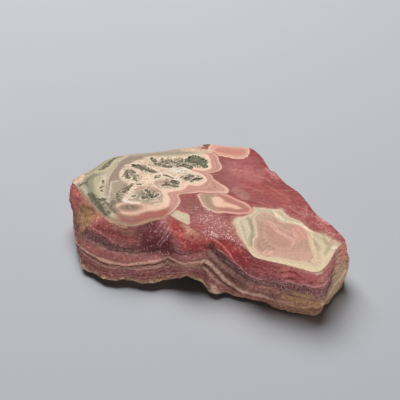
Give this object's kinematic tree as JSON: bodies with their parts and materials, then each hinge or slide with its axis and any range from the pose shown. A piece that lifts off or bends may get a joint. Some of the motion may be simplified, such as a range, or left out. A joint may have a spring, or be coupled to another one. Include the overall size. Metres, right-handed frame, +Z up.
{
  "type": "rhodochrosite slice",
  "caption": "Thick end piece of banded rhodochrosite with a flat sawn face, broken walls and a knobbly crust underneath, resting flat as a display specimen.",
  "frame": {"origin": "on the resting surface, under the middle of the stone's box", "axes": "+X along the length towards the narrow end, +Z up out of the sawn face, so -Y is the tall broken front wall"},
  "size_m": [0.104, 0.0786, 0.021],
  "materials": {
    "banded_rhodochrosite": "sawn and wetted-looking on top, broken and sparkling on the walls, matt tan crust below"
  },
  "bodies": {
    "root": {"rhodochrosite_slice": "banded_rhodochrosite"}
  },
  "joints": []
}
